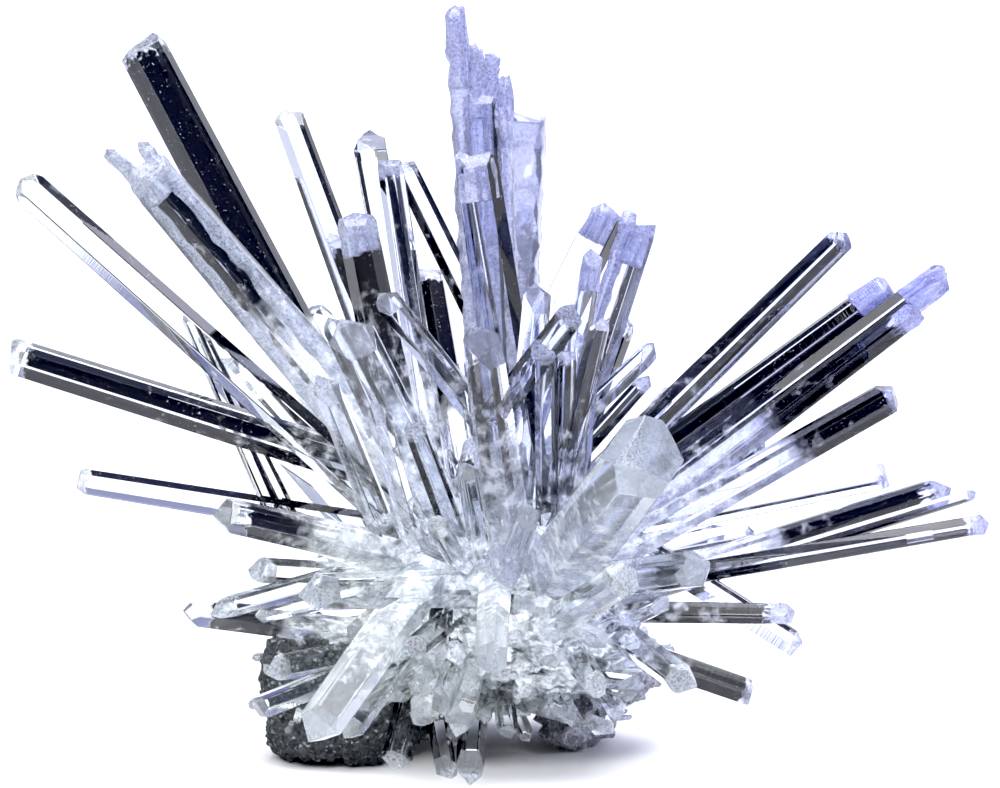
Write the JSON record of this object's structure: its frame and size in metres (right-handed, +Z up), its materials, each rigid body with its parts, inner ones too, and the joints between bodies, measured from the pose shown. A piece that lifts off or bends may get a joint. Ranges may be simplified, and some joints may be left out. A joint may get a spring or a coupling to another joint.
{
  "type": "quartz crystal cluster",
  "caption": "Spray of long clear quartz crystals with slanting and broken tips, fused at the roots, on a lump of granular rock that it rests on.",
  "frame": {"origin": "centre of the bounding box's underside, on the surface that the rock rests on", "axes": "+Z up, +X to the right and +Y away from someone who faces the cluster's front, where the thickest crystals point"},
  "size_m": [0.1468, 0.0922, 0.1143],
  "materials": {
    "clear_quartz": "clear natural crystal, frosty at broken tips and milky at the roots",
    "grey_rock": "rough granular rock, dark grey on the left and pale on the right"
  },
  "bodies": {
    "root": {"crystals": "clear_quartz", "rock": "grey_rock"}
  },
  "joints": []
}
